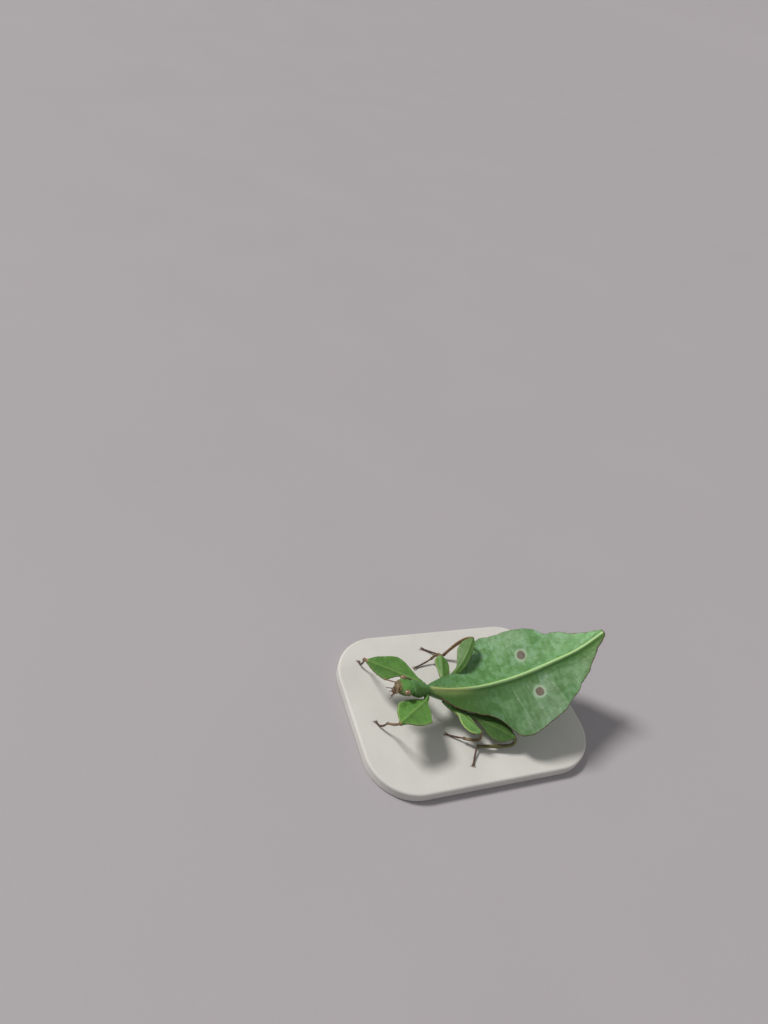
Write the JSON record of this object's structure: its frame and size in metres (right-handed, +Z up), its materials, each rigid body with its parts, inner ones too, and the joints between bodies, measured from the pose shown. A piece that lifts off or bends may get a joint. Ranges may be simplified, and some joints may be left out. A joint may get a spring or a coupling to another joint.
{
  "type": "life-size leaf insect model",
  "caption": "Leaf insect nymph with a leaf-shaped, upcurled abdomen, raised midrib and lobed legs, standing still on a plain flat base.",
  "frame": {"origin": "centre of the flat underside of the base", "axes": "+X along the insect from head to tail tip, +Y to the insect's right, +Z up out of the base"},
  "size_m": [0.0478, 0.034, 0.0198],
  "materials": {
    "leaf_green": "satin leaf green with a pale raised midrib, finely mottled",
    "body_green": "satin dark green, finely granular",
    "lobe_green": "satin bright green with paler rims",
    "shin_olive": "satin olive brown",
    "foot_brown": "satin dark brown",
    "mouth_brown": "satin dark brown, banded paler",
    "eye": "glossy tan",
    "base": "fine matt off-white"
  },
  "bodies": {
    "root": {"abdomen_front": "leaf_green", "abdomen_middle": "leaf_green", "abdomen_tip": "leaf_green", "antenna_left": "mouth_brown", "antenna_right": "mouth_brown", "coxa_fore_left": "body_green", "coxa_fore_right": "body_green", "coxa_hind_left": "body_green", "coxa_hind_right": "body_green", "coxa_mid_left": "body_green", "coxa_mid_right": "body_green", "eye_left": "eye", "eye_right": "eye", "femur_fore_left": "lobe_green", "femur_fore_right": "lobe_green", "femur_hind_left": "lobe_green", "femur_hind_right": "lobe_green", "femur_mid_left": "lobe_green", "femur_mid_right": "lobe_green", "head": "body_green", "mesothorax": "body_green", "metathorax": "body_green", "mouthparts": "mouth_brown", "pronotum": "body_green", "stand_base": "base", "tarsus_fore_left": "foot_brown", "tarsus_fore_right": "foot_brown", "tarsus_hind_left": "foot_brown", "tarsus_hind_right": "foot_brown", "tarsus_mid_left": "foot_brown", "tarsus_mid_right": "foot_brown", "tibia_fore_left": "shin_olive", "tibia_fore_right": "shin_olive", "tibia_hind_left": "shin_olive", "tibia_hind_right": "shin_olive", "tibia_mid_left": "shin_olive", "tibia_mid_right": "shin_olive"}
  },
  "joints": []
}
